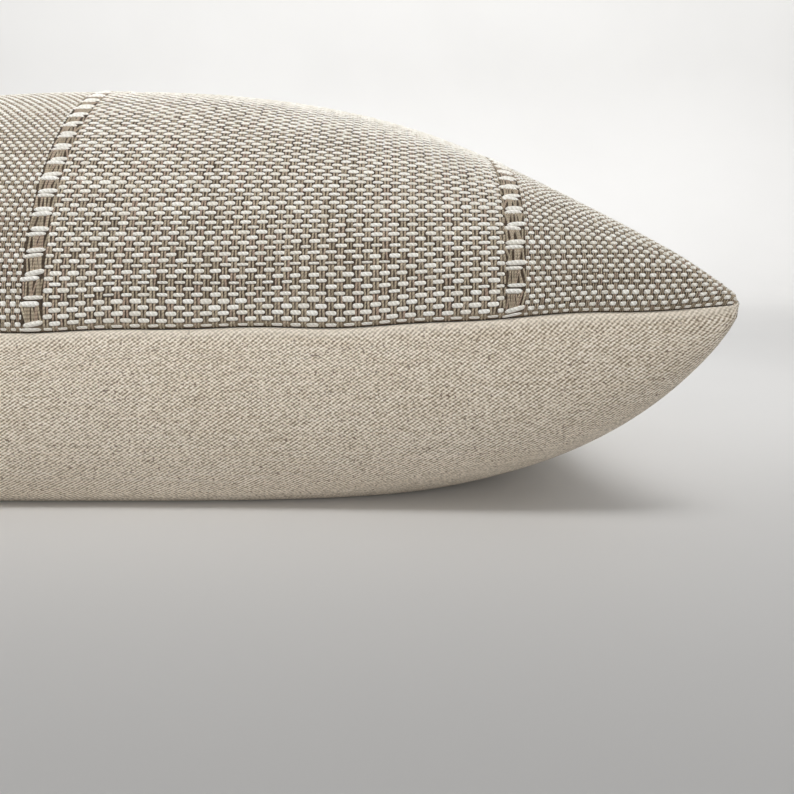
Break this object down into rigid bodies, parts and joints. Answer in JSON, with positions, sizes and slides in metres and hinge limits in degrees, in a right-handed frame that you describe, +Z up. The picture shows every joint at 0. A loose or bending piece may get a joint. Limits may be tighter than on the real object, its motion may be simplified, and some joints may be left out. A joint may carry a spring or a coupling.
{
  "type": "throw pillow",
  "caption": "Plump rectangular lumbar pillow: a two-cloth cover with a concealed zip along one long edge, round a filled insert.",
  "frame": {"origin": "centre of the pillow's box, on the plane of the face it rests on", "axes": "+X along the long side, +Y across towards the zipped edge, +Z up from the resting face to the woven front"},
  "size_m": [0.474, 0.2802, 0.167],
  "materials": {
    "front_cloth": "loose weave of off-white slub weft over taupe warp",
    "back_twill": "natural cotton and linen twill, matt",
    "thread": "spun sewing thread",
    "zip_tape": "fine woven tape",
    "zip_coil": "moulded nylon coil",
    "zip_metal": "satin lacquer, colour-matched",
    "insert_cotton": "fine downproof cotton",
    "fill_fibre": "loose fibre fill",
    "label_tape": "blank satin tape"
  },
  "bodies": {
    "pillow": {"front_panel": "front_cloth", "back_panel": "back_twill", "seam_thread": "thread", "overlock_thread": "thread", "zip_stitching": "thread", "zip_tape_upper": "zip_tape", "zip_tape_lower": "zip_tape", "zip_coil_upper": "zip_coil", "zip_coil_lower": "zip_coil", "zip_closed_stop": "zip_metal", "zip_open_stop": "zip_metal", "insert_front_casing": "insert_cotton", "insert_back_casing": "insert_cotton", "insert_seam_thread": "thread", "fill": "fill_fibre", "care_label": "label_tape", "insert_label": "label_tape"},
    "slider": {"zip_slider": "zip_metal"},
    "pull": {"zip_pull": "zip_metal"}
  },
  "joints": [
    {"name": "slider_travel", "type": "hinge", "parent": "pillow", "child": "slider", "pos_m": [0, 0.87515, 0.34733], "axis": [0, -0.3417, 0.9398], "range_deg": [-27.2, 0]},
    {"name": "pull_swing", "type": "hinge", "parent": "slider", "child": "pull", "pos_m": [0.19144, 0.13146, 0.0769], "axis": [0.972, 0.221, 0.0804], "range_deg": [0, 150]}
  ]
}
